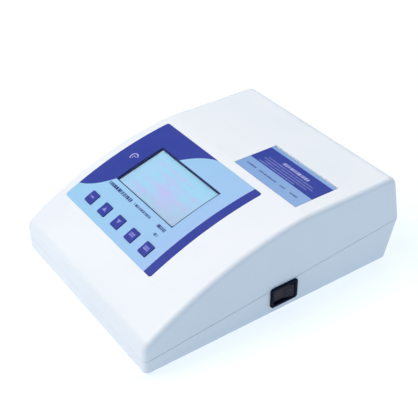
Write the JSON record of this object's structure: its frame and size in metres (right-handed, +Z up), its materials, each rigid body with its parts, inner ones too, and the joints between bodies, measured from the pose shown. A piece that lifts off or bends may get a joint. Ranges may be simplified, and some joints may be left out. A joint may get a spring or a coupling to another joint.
{
  "type": "spectrophotometer",
  "caption": "Bench spectrophotometer with a sloping keypad and display, a flush sample lid over a cuvette chamber and a side rocker switch.",
  "frame": {"origin": "on the table under the middle of the casing", "axes": "+Z up, -Y the front with the keys, +X the side with the mains switch"},
  "size_m": [0.2123, 0.2787, 0.0934],
  "materials": {
    "case_white": "fine textured",
    "overlay_blue": "printed film",
    "clear_window": "clear",
    "lcd_glass": "display",
    "black_plastic": "moulded",
    "circuit_board": "solder mask",
    "key_plastic": "moulded",
    "label_blue": "printed film",
    "foam_black": "foam",
    "steel": "plated",
    "anodised_black": "black anodised",
    "grey_plastic": "moulded",
    "aluminium_plate": "milled",
    "steel_sheet": "sheet",
    "ceramic": "ceramic",
    "lamp_glass": "quartz",
    "optical_glass": "polished",
    "steel_motor": "zinc plated",
    "filter_glass": "coloured",
    "grating_mirror": "ruled mirror",
    "chip_black": "moulded",
    "transformer_yellow": "ferrite and tape",
    "rocker_black": "moulded",
    "brass": "plated",
    "fuse_glass": "glass tube",
    "foot_rubber": "soft"
  },
  "bodies": {
    "casing": {"upper_case": "case_white", "lower_case": "case_white", "keypad_overlay": "overlay_blue", "display_window": "clear_window", "lcd_panel": "lcd_glass", "lcd_frame": "black_plastic", "display_board": "circuit_board", "key_board": "circuit_board", "lid_hinge_pin": "steel", "sample_chamber": "black_plastic", "cuvette_holder": "anodised_black", "latch_body": "black_plastic", "optical_plate": "aluminium_plate", "lamp_shield": "steel_sheet", "lamp_socket": "ceramic", "lamp_bulb": "lamp_glass", "lens_mount": "anodised_black", "condenser_lens": "optical_glass", "filter_bracket": "anodised_black", "filter_motor": "steel_motor", "slit_mounts": "anodised_black", "slit_blades": "steel", "grating_motor": "steel_motor", "detector_bracket": "anodised_black", "detector_board": "circuit_board", "detector": "steel", "main_board": "circuit_board", "board_parts": "chip_black", "power_board": "circuit_board", "transformer": "transformer_yellow", "power_capacitors": "chip_black", "switch_housing": "black_plastic", "switch_terminals": "brass", "mains_inlet": "black_plastic", "inlet_pins": "brass", "inlet_screws": "steel", "data_port": "steel_sheet", "fan_frame": "black_plastic", "feet": "foot_rubber", "case_screws": "steel", "plate_screws": "steel", "board_screws": "steel"},
    "key_1": {"key_1": "key_plastic"},
    "key_2": {"key_2": "key_plastic"},
    "key_3": {"key_3": "key_plastic"},
    "key_4": {"key_4": "key_plastic"},
    "key_5": {"key_5": "key_plastic"},
    "lid": {"sample_lid": "case_white", "info_label": "label_blue", "lid_seal": "foam_black"},
    "latch": {"latch_plunger": "grey_plastic"},
    "filters": {"filter_wheel": "anodised_black", "order_filters": "filter_glass"},
    "grating_assembly": {"grating_table": "aluminium_plate", "grating": "grating_mirror"},
    "rocker": {"switch_rocker": "rocker_black"},
    "fuse_tray": {"fuse_drawer": "black_plastic", "fuse": "fuse_glass"},
    "fan": {"fan_rotor": "black_plastic"}
  },
  "joints": [
    {"name": "key_1_press", "type": "slide", "parent": "casing", "child": "key_1", "axis": [0, 0.4247, -0.9053], "range_m": [0, 0.0008], "stiffness_N_per_m": 1500},
    {"name": "key_2_press", "type": "slide", "parent": "casing", "child": "key_2", "axis": [0, 0.4247, -0.9053], "range_m": [0, 0.0008], "stiffness_N_per_m": 1500},
    {"name": "key_3_press", "type": "slide", "parent": "casing", "child": "key_3", "axis": [0, 0.4247, -0.9053], "range_m": [0, 0.0008], "stiffness_N_per_m": 1500},
    {"name": "key_4_press", "type": "slide", "parent": "casing", "child": "key_4", "axis": [0, 0.4247, -0.9053], "range_m": [0, 0.0008], "stiffness_N_per_m": 1500},
    {"name": "key_5_press", "type": "slide", "parent": "casing", "child": "key_5", "axis": [0, 0.4247, -0.9053], "range_m": [0, 0.0008], "stiffness_N_per_m": 1500},
    {"name": "lid_hinge", "type": "hinge", "parent": "casing", "child": "lid", "pos_m": [0.04515, 0.0711, 0.0914], "axis": [-1, 0, 0], "range_deg": [0, 92]},
    {"name": "latch_press", "type": "slide", "parent": "casing", "child": "latch", "axis": [0, 0, -1], "range_m": [0, 0.0015], "stiffness_N_per_m": 800},
    {"name": "filter_wheel_turn", "type": "hinge", "parent": "casing", "child": "filters", "pos_m": [0.00394, 0.07658, 0.0615], "axis": [0.9135, 0.4067, 0], "continuous": true},
    {"name": "grating_turn", "type": "hinge", "parent": "casing", "child": "grating_assembly", "pos_m": [-0.058, 0.049, 0.0515], "axis": [0, 0, 1], "range_deg": [-12, 12]},
    {"name": "power_switch", "type": "hinge", "parent": "casing", "child": "rocker", "pos_m": [0.1034, 0.0026, 0.0211], "axis": [0, 0, 1], "range_deg": [0, 14]},
    {"name": "fuse_drawer_slide", "type": "slide", "parent": "casing", "child": "fuse_tray", "axis": [0, 0.9614, -0.2751], "range_m": [0, 0.014]},
    {"name": "fan_spin", "type": "hinge", "parent": "casing", "child": "fan", "pos_m": [0.062, 0.12608, 0.02674], "axis": [0, 0.9614, -0.2751], "continuous": true}
  ]
}
